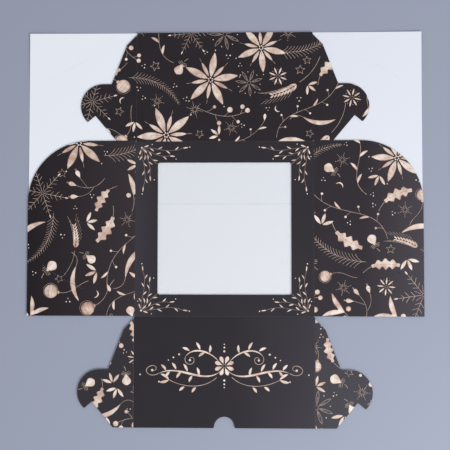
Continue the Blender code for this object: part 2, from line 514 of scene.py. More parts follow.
# %% Crease finishes
print_look = {"Base Color": screen_colour(34, 31, 36), "Roughness": 0.5, "Specular IOR Level": board_gloss}
crease_black, _ = new_material("crease_print", print_look)
# the inside of a crease strip is the white board painted darker: painted shade along the crease
shaded_inside_look = {"Base Color": screen_colour(196, 200, 209), "Roughness": bare_roughness}
crease_white_painted_shade, _ = new_material("crease_inside", shaded_inside_look)

# %% Crease strips
crease_cuts = 7
strip_groove = 0.00007
strip_bead = 0.00004
facing_out = 0.5


def crease_strip(pair, crease):
    """Close one crease with a strip, grooved on the printed side and beaded on the inside."""
    across, middle, gap, start, end = crease
    low, high = (corner.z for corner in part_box(pair[0]))
    printed_up = not pair[0].startswith("base")
    sheet = bmesh.new()
    bmesh.ops.create_cube(sheet, size=1.0)
    bmesh.ops.scale(sheet, vec=(gap, end - start, high - low), verts=sheet.verts)
    crossing = [edge for edge in sheet.edges if abs(edge.verts[0].co.x - edge.verts[1].co.x) > gap / 2]
    bmesh.ops.subdivide_edges(sheet, edges=crossing, cuts=crease_cuts, use_grid_fill=True)
    for corner in sheet.verts:
        dip = 1 - (2 * corner.co.x / gap) ** 2
        is_printed = (corner.co.z > 0) == printed_up
        depth = strip_groove if is_printed else -strip_bead
        corner.co.z += dip * (-depth if corner.co.z > 0 else depth)
    bmesh.ops.recalc_face_normals(sheet, faces=sheet.faces)
    for face in sheet.faces:
        outwards = face.normal.z if printed_up else -face.normal.z
        face.material_index = 0 if outwards > facing_out else 1
    turn = Matrix.Identity(4) if across == 0 else Matrix.Rotation(math.radians(-90), 4, "Z")
    bmesh.ops.transform(sheet, matrix=turn, verts=sheet.verts)
    centre = [0, 0, (low + high) / 2]
    centre[across] = middle
    centre[1 - across] = (start + end) / 2
    bmesh.ops.translate(sheet, vec=centre, verts=sheet.verts)
    strip = put(pair[1] + "_crease", sheet, crease_black, crease_white_painted_shade)

    side = 1 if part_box(pair[1])[0][across] >= middle else -1
    edge_a, edge_b = list(centre), list(centre)
    edge_a[across] -= side * gap / 2
    edge_b[across] += side * gap / 2
    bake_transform(strip, *pair, start=edge_a, end=edge_b)


for pair, crease in creases.items():
    crease_strip(pair, crease)
print("crease strips", len(creases))

# %% [markdown]
# ## Where ear and flap part
# One stroke of the die parts an ear's heel from the flap below it, so hardly any white shows
# between them. The plates of the frame stand a little apart there. Stretching a plate isn't
# allowed, so a black sliver that rides on the ear fills most of the gap.

# %% Slivers at the ears' heels
heel_reach = 0.0185

for ear, flap in (("back_left_ear", "lid_left_flap"), ("back_right_ear", "lid_right_flap")):
    ear_low, ear_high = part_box(ear)
    left = ear_low.x if ear_low.x > 0 else ear_high.x - heel_reach
    low = Vector((left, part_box(flap)[1].y + print_level_slack, ear_low.z + print_level_slack))
    high = Vector((left + heel_reach, ear_low.y, ear_high.z - 2 * print_level_slack))
    sheet = bmesh.new()
    bmesh.ops.create_cube(sheet, size=1.0)
    bmesh.ops.scale(sheet, vec=high - low, verts=sheet.verts)
    bmesh.ops.translate(sheet, vec=(low + high) / 2, verts=sheet.verts)
    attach(put(ear + "_heel", sheet, crease_black), ear)

# %% [markdown]
# ## The back fold
# At the back the board is folded over flat, with room for the film between its halves. Its bend
# is a rounded spine: one end face of the board, spun through half a turn round the crease and
# then flattened, because a folded crease bulges less than a round tube would.

# %% Back spine
spine_steps = 12
spine_flatness = 0.2


def back_spine():
    tray_low, tray_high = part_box("base_panel")
    back_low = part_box("back_wall")[0]
    edge_y = tray_high.y
    turn_centre = Vector((0, edge_y, (tray_high.z + back_low.z) / 2))
    upright = Matrix.Rotation(math.radians(90), 3, "X")
    sheet = bmesh.new()
    bmesh.ops.create_grid(sheet, x_segments=1, y_segments=1, size=0.5)
    bmesh.ops.scale(sheet, vec=(tray_high.x - tray_low.x, tray_high.z - tray_low.z, 1.0), verts=sheet.verts)
    bmesh.ops.rotate(sheet, cent=(0, 0, 0), matrix=upright, verts=sheet.verts)
    bmesh.ops.translate(sheet, vec=(0, edge_y, (tray_high.z + tray_low.z) / 2), verts=sheet.verts)
    bmesh.ops.spin(sheet, geom=list(sheet.faces) + list(sheet.edges) + list(sheet.verts), cent=turn_centre,
                   axis=(1, 0, 0), angle=math.pi, steps=spine_steps)
    if max(corner.co.y for corner in sheet.verts) < edge_y + print_level_slack:
        raise SystemExit("the spine turned the wrong way")
    bmesh.ops.recalc_face_normals(sheet, faces=sheet.faces)
    for face in sheet.faces:
        middle = face.calc_center_median() - turn_centre
        middle.x = 0
        outwards = face.normal.dot(middle.normalized())
        face.material_index = 0 if outwards > facing_out else 1
    for corner in sheet.verts:
        corner.co.y = edge_y + (corner.co.y - edge_y) * spine_flatness
    spine = put("back_fold_crease", sheet, crease_black, crease_white_painted_shade)
    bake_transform(spine, "base_panel", "back_wall", start=(0, edge_y, tray_high.z), end=(0, edge_y, back_low.z))


back_spine()

# %% [markdown]
# ## Ink
# The print is rose gold on black: washed fills that run from peach to cream, thin copper lines,
# and fine dark veins. It could be painted by a material, but thin crisp lines would need a huge
# picture. Here the ink is laid as very thin closed plates on the board, a few hundredths of a
# millimetre high, so the lines stay sharp from any distance.

# %% Ink finishes
ink_heights = {"line": 0.000012, "wash": 0.000018, "vein": 0.000024}
level_step = 0.0000004
line_scale = 260.0
blot_scale = 150.0
grain_scale = 1500.0
wash_steps = [
    (0.0, screen_colour(150, 118, 106)), (0.14, screen_colour(184, 152, 138)),
    (0.5, screen_colour(211, 187, 174)), (1.0, screen_colour(236, 224, 215)),
]


def wash_finish():
    """Watercolour: dark along the rim and paler inside, by each shape's tone and some noise."""
    material, shader = new_material("ink_wash", {"Roughness": 0.5, "Specular IOR Level": board_gloss})
    tree = material.node_tree
    where = add_node(tree, "TexCoord").outputs["Object"]
    blots = noise(where, blot_scale, detail=3.0)
    grain = noise(where, grain_scale, detail=2.0)
    core = attribute(tree, "core")
    tone = attribute(tree, "tone")
    share = stretch(core, 0.0, 0.3, 0.0, 0.32, smooth=True)
    # each cause with the range it is read over and the share that it adds
    for cause, *ranges in ((core, 0.2, 1.0, 0.0, 0.2), (blots, *noise_spread, -0.3, 0.3),
                           (grain, 0.3, 0.7, -0.06, 0.06), (tone, 0.0, 1.0, -0.12, 0.5)):
        share = calculate("ADD", share, stretch(cause, *ranges))
    ramp = add_node(tree, "ValToRGB")
    feed(share, ramp.inputs[0])
    steps = ramp.color_ramp.elements
    while len(steps) < len(wash_steps):
        steps.new(0.5)
    for step, (spot, colour) in zip(steps, wash_steps):
        step.position = spot
        step.color = colour
    feed(ramp.outputs[0], shader.inputs["Base Color"])
    return material


def line_finish(name, dark, light):
    material, shader = new_material(name, {"Roughness": 0.45, "Specular IOR Level": board_gloss})
    where = add_node(material.node_tree, "TexCoord").outputs["Object"]
    share = stretch(noise(where, line_scale, detail=2.0), *noise_spread, 0.0, 1.0)
    feed(blend_colours(share, dark, light), shader.inputs["Base Color"])
    return material


ink_finishes = {
    "line": line_finish("ink_line", screen_colour(158, 134, 124), screen_colour(196, 172, 160)),
    "wash": wash_finish(),
    "vein": line_finish("ink_vein", screen_colour(128, 100, 90), screen_colour(158, 128, 116)),
}

# %% [markdown]
# ## Strokes and dots
# Every motif is drawn with a few marks. A stroke is a small grid laid along a curve, and its
# swell says how wide it is on the way: steady for a line, swelling for a leaf. A dot is a
# filled circle and a ring a narrow band. Marks are drawn in millimetres round a motif's own
# middle, and the motif is then stamped on the board at any place, turn and size.

# %% Swells
def steady(share):
    return 1.0


def leaf(share):
    return max(0.05, math.sin(math.pi * share)) ** 0.8


def petal(share):
    return max(0.04, math.sin(math.pi * share ** 1.6)) ** 0.6


def needle(share):
    return max(0.08, 1.0 - share)


def lobed(share):
    return max(0.06, math.sin(math.pi * share)) ** 0.5 * (0.72 + 0.28 * math.cos(share * 8 * math.pi))


# %% Sheets for the inks
mark_order = itertools.count()
lift_levels = 9
line_tone = 0.45
berry_tone = 0.8
berry_core = Vector((-0.3, 0.25, 0))


def fresh_sheet():
    sheet = bmesh.new()
    sheet.faces.layers.float.new("tone")
    sheet.faces.layers.float.new("level")
    sheet.verts.layers.float.new("core")
    return sheet


def fresh_inks():
    return {ink: fresh_sheet() for ink in ink_heights}


# %% Pen
class Pen:
    """Draws the marks of one motif, each ink on a sheet of its own."""

    def __init__(self):
        self.inks = fresh_inks()

    def mark(self, ink, corners, tone):
        """Note a mark's tone on its faces, and a level that keeps it off the marks it crosses."""
        layers = self.inks[ink].faces.layers.float
        level = next(mark_order) % lift_levels
        for face in {face for corner in corners for face in corner.link_faces}:
            face[layers["tone"]] = tone
            face[layers["level"]] = level

    def stroke(self, ink, knots, width, swell, steps, tone=line_tone):
        """A flat stroke along a curve given by its start, two handles and end.

        A washed stroke has a middle row of corners, the core that its colour pales towards.
        """
        line = interpolate_bezier(*(Vector((x, y, 0)) for x, y in knots), steps + 1)
        rows = 2 if ink == "wash" else 1
        sheet = self.inks[ink]
        corners = bmesh.ops.create_grid(sheet, x_segments=steps, y_segments=rows, size=0.5)["verts"]
        core = sheet.verts.layers.float["core"]
        for corner in corners:
            number = round((corner.co.x + 0.5) * steps)
            ahead = line[min(number + 1, steps)] - line[max(number - 1, 0)]
            across = Vector((-ahead.y, ahead.x, 0)).normalized()
            corner[core] = 1 - 2 * abs(corner.co.y) if 0 < number < steps else 0.0
            corner.co = line[number] + across * (corner.co.y * width * swell(number / steps))
        self.mark(ink, corners, tone)

    def line(self, knots, width, steps):
        self.stroke("line", knots, width, steady, steps)

    def wash(self, knots, width, swell, steps, tone):
        self.stroke("wash", knots, width, swell, steps, tone)

    def vein(self, knots, width, swell, steps):
        self.stroke("vein", knots, width, swell, steps)

    def dot(self, x, y, radius, tone=berry_tone, segments=14, ink="wash"):
        """A filled circle, whose core stands a little off its middle as on a round berry."""
        sheet = self.inks[ink]
        corners = bmesh.ops.create_circle(sheet, cap_ends=True, cap_tris=True, radius=radius,
                                          segments=segments)["verts"]
        core = sheet.verts.layers.float["core"]
        for corner in corners:
            if corner.co.length < radius / 2:
                corner[core] = 1.0
                corner.co += berry_core * radius
        bmesh.ops.translate(sheet, verts=corners, vec=(x, y, 0))
        self.mark(ink, corners, tone)

    def ring(self, x, y, radius, width=0.28, segments=16):
        sheet = self.inks["line"]
        corners = bmesh.ops.create_circle(sheet, cap_ends=False, radius=radius, segments=segments)["verts"]
        edges = list({edge for corner in corners for edge in corner.link_edges})
        grown = bmesh.ops.extrude_edge_only(sheet, edges=edges)["geom"]
        outer = [item for item in grown if isinstance(item, bmesh.types.BMVert)]
        share = (radius + width) / radius
        bmesh.ops.scale(sheet, vec=(share, share, 1), verts=outer)
        bmesh.ops.translate(sheet, vec=(x, y, 0), verts=corners + outer)
        self.mark("line", corners + outer, line_tone)


# %% Curves
def spokes(count, first=0.0):
    """Angles in degrees, evenly spread round a motif's middle."""
    return [number * 360 / count + first for number in range(count)]


def straight(x1, y1, x2, y2, bow=0.0):
    """A curve between two points, bowed sideways by a share of its length."""
    side = Vector((y1 - y2, x2 - x1)) * bow
    third = Vector((x2 - x1, y2 - y1)) / 3
    return [(x1, y1), (x1 + third.x + side.x, y1 + third.y + side.y),
            (x2 - third.x + side.x, y2 - third.y + side.y), (x2, y2)]


def out_from(x, y, angle, reach, bow=0.0, start=0.0):
    """A curve that leaves a point at an angle in degrees."""
    turn = math.radians(angle)
    along = (math.cos(turn), math.sin(turn))
    return straight(x + along[0] * start, y + along[1] * start,
                    x + along[0] * reach, y + along[1] * reach, bow)


def spoke(angle, reach, bow=0.0, start=0.0):
    """A curve out from a motif's own middle."""
    return out_from(0, 0, angle, reach, bow, start)


def tip(angle, reach):
    """The place where a spoke ends."""
    return spoke(angle, reach)[3]


# %% [markdown]
# ## Motifs
# The pattern is a generic winter garden: poinsettias, snow crystals, barley, laurel, ferns, oak
# leaves, mistletoe, baubles and small stars. Each motif is a short function, so that a change to
# one mark shows in all of its prints. Washed shapes and thin line drawings take turns, as they
# would in a hand-drawn print.

# %% Flowers and crystals
def poinsettia(pen):
    for angle in spokes(5, 36):
        pen.wash(spoke(angle, 18.0, start=3.6), 3.4, leaf, 10, 0.25)
        pen.vein(spoke(angle, 14.0, start=5.5), 0.24, needle, 4)
        pen.line(spoke(angle, 22.5, start=18.6), 0.28, 1)
    for number, angle in enumerate(spokes(5)):
        pen.wash(spoke(angle, 25.5, start=2.8), 6.6, leaf, 14, 0.4 + 0.1 * (number % 3))
        pen.vein(spoke(angle, 21.0, start=4.5), 0.3, needle, 5)
        for reach, side in ((8, 28), (8, -28), (12, 26), (12, -26), (16, 24), (16, -24)):
            x, y = tip(angle, reach)
            pen.vein(out_from(x, y, angle + side, 3.8), 0.2, needle, 2)
        pen.dot(*tip(angle, 28.0), 0.6, segments=8)
    for angle in spokes(6):
        pen.dot(*tip(angle, 1.9), 0.72, 0.9, 8)


def outlined_blossom(pen):
    for angle in spokes(7):
        for bow in (0.14, -0.14):
            pen.line(spoke(angle, 14.0, bow=bow, start=2.6), 0.28, 6)
        pen.line(spoke(angle, 9.0, start=4.0), 0.24, 2)
        pen.dot(*tip(angle + 26, 11.5), 0.5, segments=8)
    pen.ring(0, 0, 1.6)


def drop_star(pen):
    for angle in spokes(8):
        pen.wash(spoke(angle, 8.6, start=2.2), 1.5, leaf, 6, 0.5)
        pen.dot(*tip(angle + 22.5, 6.4), 0.34, segments=6, ink="line")
    pen.ring(0, 0, 1.2, 0.24, 10)


def snow_crystal(pen):
    for angle in spokes(6):
        pen.line(spoke(angle, 20.0, start=1.4), 0.34, 3)
        pen.line(spoke(angle + 30, 8.0, start=2.4), 0.3, 2)
        for reach, branch in ((7.0, 4.6), (11.5, 5.2), (16.0, 3.2)):
            x, y = tip(angle, reach)
            for side in (52, -52):
                pen.line(out_from(x, y, angle + side, branch), 0.3, 2)
        pen.wash(spoke(angle, 24.4, start=20.6), 1.3, leaf, 4, 0.7)
    pen.ring(0, 0, 1.1)


# %% Leaves and ears of grain
def places_along(knots, count):
    """Evenly spread places on a curve, each with the curve's own heading there in degrees."""
    line = interpolate_bezier(*(Vector((x, y, 0)) for x, y in knots), count + 2)
    for before, here, after in zip(line, line[1:], line[2:]):
        ahead = after - before
        yield here.x, here.y, math.degrees(math.atan2(ahead.y, ahead.x))


def twigs_along(knots, count):
    """Such places with their numbers, and the side that a twig grows to: the sides take turns."""
    for number, place in enumerate(places_along(knots, count)):
        yield number, *place, 1 if number % 2 else -1


def laurel(pen):
    stem = [(-26, -6), (-12, 4), (6, 5), (19, -2)]
    pen.line(stem, 0.34, 14)
    for number, x, y, heading, side in twigs_along(stem, 8):
        blade = out_from(x, y, heading + 40 * side, 10.5, bow=-0.08 * side, start=0.6)
        pen.wash(blade, 2.8, leaf, 8, 0.3 + 0.06 * number)
    pen.wash(out_from(19, -2, -30, 10), 2.8, leaf, 8, 0.6)


def fern(pen):
    stem = [(-30, -7), (-10, 6), (10, 7), (28, -3)]
    pen.line(stem, 0.3, 16)
    for number, (x, y, heading) in enumerate(places_along(stem, 19)):
        reach = 8.4 - 0.34 * number
        for side in (1, -1):
            pen.line(out_from(x, y, heading + 44 * side, reach, bow=-0.1 * side), 0.26, 3)


def barley(pen):
    ear = [(-6, 1), (3, 2.4), (12, 1.6), (21, -1.5)]
    pen.line([(-32, -9), (-22, -1), (-14, 0.4), (-6, 1)], 0.32, 10)
    for number, (x, y, heading) in enumerate(places_along(ear, 8)):
        size = 1.0 - 0.05 * number
        for side in (1, -1):
            grain = out_from(x, y, heading + 26 * side, 6.6 * size, start=0.5)
            pen.wash(grain, 2.1 * size, leaf, 6, 0.3 + 0.05 * number)
            pen.line(out_from(x, y, heading + 21 * side, 14.0, start=6.6), 0.2, 2)


def oak_leaf(pen):
    rib = [(-12, 0), (-4, 2), (5, 1.5), (13, -1)]
    pen.wash(rib, 10.5, lobed, 24, 0.35)
    pen.vein(rib, 0.26, steady, 6)
    for x, y, heading in places_along(rib, 4):
        for side in (50, -50):
            pen.vein(out_from(x, y, heading + side, 3.8), 0.22, needle, 2)
    pen.line([(-20, -5), (-17, -2.5), (-14, -0.8), (-12, 0)], 0.36, 4)


def outlined_twig(pen):
    stem = [(-24, -8), (-12, 3), (0, 6), (12, 2)]
    pen.line(stem, 0.3, 12)
    for _, x, y, heading, side in twigs_along(stem, 5):
        for bow in (0.15, -0.15):
            pen.line(out_from(x, y, heading + 44 * side, 10.5, bow=bow), 0.28, 6)
    for bow in (0.15, -0.15):
        pen.line(out_from(12, 2, -18, 11, bow=bow), 0.28, 6)


def willow_leaf(pen):
    pen.wash([(-16, -5), (-6, 3), (5, 4), (16, 0)], 4.6, leaf, 14, 0.45)
    pen.vein([(-14, -3.8), (-6, 2), (5, 3), (12, 1.4)], 0.26, needle, 8)
    pen.line([(-16, -5), (-22, -9), (-26, -8), (-30, -4)], 0.32, 8)


# %% Fruits and stems
def acorn(pen):
    pen.wash(straight(-1, 0, 9.5, 0), 8.6, petal, 12, 0.7)
    pen.vein(straight(1.5, -1.6, 7, -1.4, 0.06), 0.22, steady, 4)
    for x, half in ((-1.2, 4.6), (-2.4, 4.2), (-3.5, 3.2)):
        pen.line(straight(x, -half, x, half, -0.18), 0.32, 6)
    pen.line(straight(-4.4, 0, -8.5, 1.5, 0.1), 0.42, 4)


def bauble(pen):
    pen.dot(0, 0, 5.4, 0.45, 24)
    for y, bow in ((1.6, 0.1), (-1.2, 0.12)):
        pen.vein(straight(-4.9, y, 4.9, y, -bow), 0.26, steady, 8)
    pen.ring(0.5, -0.4, 5.9, 0.2, 24)
    pen.wash(straight(-1.3, 6.1, 1.3, 6.1), 1.5, steady, 2, 0.3)
    pen.line([(0, 6.8), (0, 18), (9, 20), (13, 29)], 0.3, 12)


def hip_twig(pen):
    pen.line([(-21, 4), (-12, -5), (-2, -4), (8, 2)], 0.34, 12)
    pen.line([(-9, -2.6), (-5, -8), (2, -10), (8, -9)], 0.3, 8)
    pen.line([(-3, -2.6), (0, 3), (2, 6), (3, 9)], 0.3, 6)
    for x, y, turn, tone in ((8, 2, 30, 0.55), (8, -9, 8, 0.35), (3, 9, 72, 0.7)):
        hip = out_from(x, y, turn, 8.0)
        pen.wash(hip, 4.4, petal, 10, tone)
        for side in (28, 0, -28):
            pen.line(out_from(*hip[3], turn + side, 2.0), 0.26, 2)


def mistletoe(pen):
    pen.line(straight(-15, 3, 0, 0, 0.1), 0.36, 6)
    pen.wash(spoke(36, 20, bow=-0.1), 4.4, leaf, 12, 0.5)
    pen.wash(spoke(-30, 20, bow=0.1), 4.4, leaf, 12, 0.3)
    for x, y, tone in ((4.2, 0.4, 0.9), (-2.4, 4.6, 0.75), (-1.6, -4.2, 0.6)):
        pen.dot(x, y, 2.2, tone)


def berry_spray(pen):
    stem = [(-26, -10), (-10, 2), (4, 6), (18, 0)]
    pen.line(stem, 0.3, 14)
    for number, x, y, heading, side in twigs_along(stem, 5):
        reach = 8.5 - 0.4 * number
        twig = out_from(x, y, heading + 52 * side, reach, bow=0.1)
        pen.line(twig, 0.28, 4)
        pen.dot(*twig[3], 1.5 + 0.5 * (number % 3), 0.3 + 0.1 * number)
    pen.dot(18, 0, 2.2, 0.75)


def long_stem(pen):
    stem = [(-42, -9), (-20, 19), (10, -20), (42, 6)]
    pen.line(stem, 0.32, 26)
    for number, x, y, heading, side in twigs_along(stem, 9):
        if number % 3 == 2:
            blade = out_from(x, y, heading + 34 * side, 9.0, bow=-0.1 * side, start=0.5)
            pen.wash(blade, 2.0, leaf, 7, 0.5)
        else:
            pen.line(out_from(x, y, heading + 56 * side, 6.0, bow=-0.1 * side), 0.26, 4)
            pen.dot(*out_from(x, y, heading + 56 * side, 6.6)[3], 1.1, 0.35 + 0.07 * number, 10)
    pen.wash(out_from(42, 6, 62, 7.0), 3.0, petal, 8, 0.6)


def vine(pen):
    stem = [(-34, -6), (-16, 16), (6, -16), (27, 2)]
    pen.line(stem, 0.34, 22)
    pen.line([(27, 2), (35, 9), (27, 15), (24, 8)], 0.32, 10)
    pen.line([(24, 8), (23, 4.6), (27.4, 5), (26.6, 7.6)], 0.28, 8)
    for number, x, y, heading, side in twigs_along(stem, 4):
        blade = out_from(x, y, heading + 46 * side, 9.5, bow=-0.12 * side)
        pen.wash(blade, 2.6, leaf, 8, 0.4 + 0.08 * number)
    pen.dot(26.4, 7.4, 0.8, 0.8, 10)


def tendril(pen):
    pen.line([(-15, 0), (-6, 9), (6, 9), (10, 2)], 0.34, 12)
    pen.line([(10, 2), (12, -4), (4, -6), (3.4, -1)], 0.34, 10)
    pen.line([(3.4, -1), (3.4, 2.4), (7.4, 2), (7.0, -0.6)], 0.3, 8)
    pen.dot(6.9, -1.0, 0.8, 0.8, 10)
    pen.wash(out_from(-8, 4.6, 84, 7, bow=-0.12), 2.4, leaf, 7, 0.5)


# %% Small motifs
def ray_star(pen):
    for number, angle in enumerate(spokes(12)):
        long = number % 2 == 0
        pen.line(spoke(angle, 5.8 if long else 3.8, start=1.4), 0.3, 2)
        if long:
            pen.dot(*tip(angle, 7.0), 0.36, segments=6, ink="line")


def five_star(pen):
    for angle in spokes(5):
        for side in (-36, 36):
            pen.line(straight(*tip(angle, 4.2), *tip(angle + side, 1.8)), 0.28, 2)


def crescent(pen):
    pen.wash([(-2.6, 2.4), (-3.6, -2.0), (0.4, -4.0), (3.2, -1.6)], 1.3, leaf, 10, 0.6)


def small_leaves(pen):
    for angle, tone in ((62, 0.7), (8, 0.45), (-46, 0.6)):
        pen.wash(out_from(-4, 0, angle, 10.5, start=1.0), 2.9, leaf, 7, tone)


def three_dots(pen):
    for angle, radius in ((90, 0.62), (210, 0.5), (330, 0.42)):
        pen.dot(*tip(angle, 1.7), radius, 0.8, 8)


# %% [markdown]
# ## Laying the pattern
# An all-over print has no rows: large motifs are spread first and smaller ones fill the room
# that is left. Each motif keeps its own discs of room, and a spot is taken only when its discs
# are clear of all others. The numbers are drawn from a seed, so every run gives the same print.

# %% Room and number of the motifs
# the discs of each motif's room: X, Y and radius in its own millimetres
motif_room = {
    poinsettia: [(0, 0, 22)], snow_crystal: [(0, 0, 19)],
    outlined_blossom: [(0, 0, 12)], drop_star: [(0, 0, 8)],
    laurel: [(-20, -2, 4), (-11, 1, 7), (-1, 2, 8), (9, 2, 8), (21, -4, 6)],
    fern: [(-24, -3, 5), (-14, 1, 7), (-4, 3, 7), (6, 3, 6), (15, 1, 5), (24, -1, 4)],
    barley: [(-27, -6, 3), (-18, -1, 3), (-9, 1, 3), (0, 1, 5), (9, 1, 5), (18, 0, 5), (27, -2, 5)],
    oak_leaf: [(-16, -2, 2), (-8, 1, 5), (1, 1, 6), (9, 0, 4)],
    outlined_twig: [(-19, -4, 4), (-9, 1, 7), (1, 3, 9), (12, 1, 7)],
    willow_leaf: [(-24, -7, 3), (-13, -2, 4), (-2, 2, 4), (9, 2, 4)],
    acorn: [(-4, 0, 5), (5, 0, 5.5)],
    bauble: [(0, 0, 7), (1, 13, 3), (6, 19, 3), (11, 25, 3)],
    hip_twig: [(-16, -1, 4), (-6, -4, 6), (5, 0, 8), (12, -8, 5), (5, 13, 4)],
    mistletoe: [(-10, 2, 4), (1, 0, 6), (11, 7, 5), (12, -6, 5)],
    berry_spray: [(-20, -5, 4), (-10, 0, 8), (1, 3, 8), (13, 0, 7)],
    long_stem: [(-39, -6, 3), (-30, 1, 6), (-20, 3, 7), (-10, 0, 7), (0, -2, 7), (10, -4, 7), (20, -4, 6),
                (30, -1, 6), (41, 6, 6)],
    vine: [(-30, -3, 4), (-20, 3, 6), (-10, 2, 6), (1, -1, 6), (12, -4, 6), (26, 6, 7)],
    tendril: [(-10, 4, 6), (0, 5, 7), (8, 0, 7)],
    ray_star: [(0, 0, 7)], five_star: [(0, 0, 4.4)], crescent: [(0, 0, 4)],
    small_leaves: [(1, 0, 6)], three_dots: [(0, 0, 2.4)],
}
# how many of each are laid, in this order
wide_order = {
    poinsettia: 3, long_stem: 3, snow_crystal: 2, vine: 3, fern: 4, barley: 2, hip_twig: 3,
    berry_spray: 5, outlined_blossom: 2, bauble: 3, outlined_twig: 4, laurel: 2, mistletoe: 3,
    willow_leaf: 5, oak_leaf: 5, tendril: 5, drop_star: 4, acorn: 3, ray_star: 7,
    small_leaves: 6, crescent: 2, five_star: 6, three_dots: 18,
}
flap_order = {
    snow_crystal: 1, poinsettia: 1, long_stem: 1, fern: 2, barley: 1, hip_twig: 1, vine: 1,
    bauble: 2, mistletoe: 2, oak_leaf: 3, berry_spray: 2, willow_leaf: 3, acorn: 3,
    outlined_blossom: 1, outlined_twig: 1, tendril: 2, drop_star: 2, small_leaves: 4,
    ray_star: 3, crescent: 1, five_star: 2, three_dots: 8,
}
ear_order = {
    outlined_blossom: 1, berry_spray: 2, acorn: 2, oak_leaf: 3, willow_leaf: 2, fern: 1, bauble: 1,
    drop_star: 1, tendril: 1, small_leaves: 3, ray_star: 2, five_star: 2, three_dots: 6,
}

# %% Scatter motifs over a panel
millimetre = 0.001
pattern_tries = 240
pattern_bleed = 0.004
room_between = 1.4
size_range = (0.88, 1.12)
tone_range = (-0.12, 0.12)


def move_over(sheet, target):
    """Add a finished sheet to another one and free it."""
    scrap = bpy.data.meshes.new("scrap")
    sheet.to_mesh(scrap)
    sheet.free()
    target.from_mesh(scrap)
    bpy.data.meshes.remove(scrap)


def stamp(inks, motif, x, y, turn=0.0, size=1.0, flips=(1, 1), shift=0.0):
    """Draw a motif at a place on the board, turned, sized and perhaps mirrored."""
    pen = Pen()
    motif(pen)
    scale = size * millimetre
    place = Matrix.Translation((x, y, 0)) @ Matrix.Rotation(turn, 4, "Z")
    place = place @ Matrix.Diagonal((scale * flips[0], scale * flips[1], 1, 1))
    for ink, sheet in pen.inks.items():
        bmesh.ops.transform(sheet, matrix=place, verts=sheet.verts)
        for face in sheet.faces:
            face[sheet.faces.layers.float["tone"]] += shift
        move_over(sheet, inks[ink])


def scatter(inks, low, high, seed, order):
    """Fill a panel's box with motifs, in the order given and so many of each."""
    chance = random.Random(seed)
    taken = []
    count = 0
    for motif, wanted in order.items():
        for _ in range(wanted):
            for _ in range(pattern_tries):
                x = chance.uniform(low.x - pattern_bleed, high.x + pattern_bleed)
                y = chance.uniform(low.y - pattern_bleed, high.y + pattern_bleed)
                turn = chance.uniform(-math.pi, math.pi)
                size = chance.uniform(*size_range)
                discs = []
                for reach, aside, radius in motif_room[motif]:
                    along, over = math.cos(turn), math.sin(turn)
                    discs.append((x + (reach * along - aside * over) * size * millimetre,
                                  y + (reach * over + aside * along) * size * millimetre,
                                  (radius * size + room_between) * millimetre))
                if all(math.dist(disc[:2], other[:2]) > disc[2] + other[2] - room_between * millimetre
                       for disc in discs for other in taken):
                    taken += discs
                    flips = (1, chance.choice((1, -1)))
                    stamp(inks, motif, x, y, turn, size, flips, chance.uniform(*tone_range))
                    count += 1
                    break
    return count


# %% [markdown]
# ## Cutting the print to the panel
# The sheet is printed before it is die cut, so the pattern runs off every edge and on over the
# creases. The print is laid larger than the panel and trimmed to the panel's own printed face,
# one flat triangle of that face after another, with bisect planes. The trimmed parts are welded
# again and raised to the ink's height as closed plates.

# %% Trim the print
def printed_triangles(node):
    """The flat triangles of a panel's printed upper face."""
    mesh = nodes[node].data
    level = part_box(node)[1].z - print_level_slack
    for polygon in mesh.polygons:
        corners = [mesh.vertices[number].co for number in polygon.vertices]
        if min(corner.z for corner in corners) > level:
            yield corners


def flat_box(corners):
    """The low and the high corner of some places, seen from above."""
    return [Vector(pick(corner[axis] for corner in corners) for axis in range(2)) for pick in (min, max)]


def trimmed(sheet, outlines):
    """The parts of a flat print that lie inside flat convex outlines."""
    whole = fresh_sheet()
    for corners in outlines:
        low, high = flat_box(corners)
        part = sheet.copy()
        outside = []
        for face in part.faces:
            xs = [corner.co.x for corner in face.verts]
            ys = [corner.co.y for corner in face.verts]
            if max(xs) < low.x or min(xs) > high.x or max(ys) < low.y or min(ys) > high.y:
                outside.append(face)
        bmesh.ops.delete(part, geom=outside, context="FACES")
        centre = sum(corners, Vector()) / len(corners)
        for number, corner in enumerate(corners):
            side = corner - corners[number - 1]
            across = Vector((side.y, -side.x, 0)).normalized()
            if across.dot(centre - corner) > 0:
                across = -across
            cut(part, (corner.x, corner.y, 0), across, clear=True)
        move_over(part, whole)
    bmesh.ops.remove_doubles(whole, verts=whole.verts, dist=weld_distance)
    return whole


# %% Raise the ink
def raise_ink(sheet, base, height):
    """Give a flat print its thickness on the board."""
    raised = bmesh.ops.extrude_face_region(sheet, geom=list(sheet.faces))["geom"]
    level = sheet.faces.layers.float["level"]
    for corner in raised:
        if isinstance(corner, bmesh.types.BMVert):
            lift = max(face[level] for face in corner.link_faces)
            corner.co.z += height + lift * level_step
    bmesh.ops.translate(sheet, verts=sheet.verts, vec=(0, 0, base))
    bmesh.ops.recalc_face_normals(sheet, faces=sheet.faces)


def raised_print(name, inks, outlines, base):
    """One piece of print, with all its inks trimmed to the outlines and raised off the base."""
    whole = fresh_sheet()
    for number, ink in enumerate(ink_heights):
        sheet = trimmed(inks[ink], outlines)
        raise_ink(sheet, base, ink_heights[ink])
        for face in sheet.faces:
            face.material_index = number
        move_over(sheet, whole)
    piece = put(name, whole, *ink_finishes.values())
    print(name, len(piece.data.polygons), "faces")
    return piece


def print_on(node, inks):
    piece = raised_print(node + "_print", inks, list(printed_triangles(node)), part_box(node)[1].z)
    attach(piece, node)


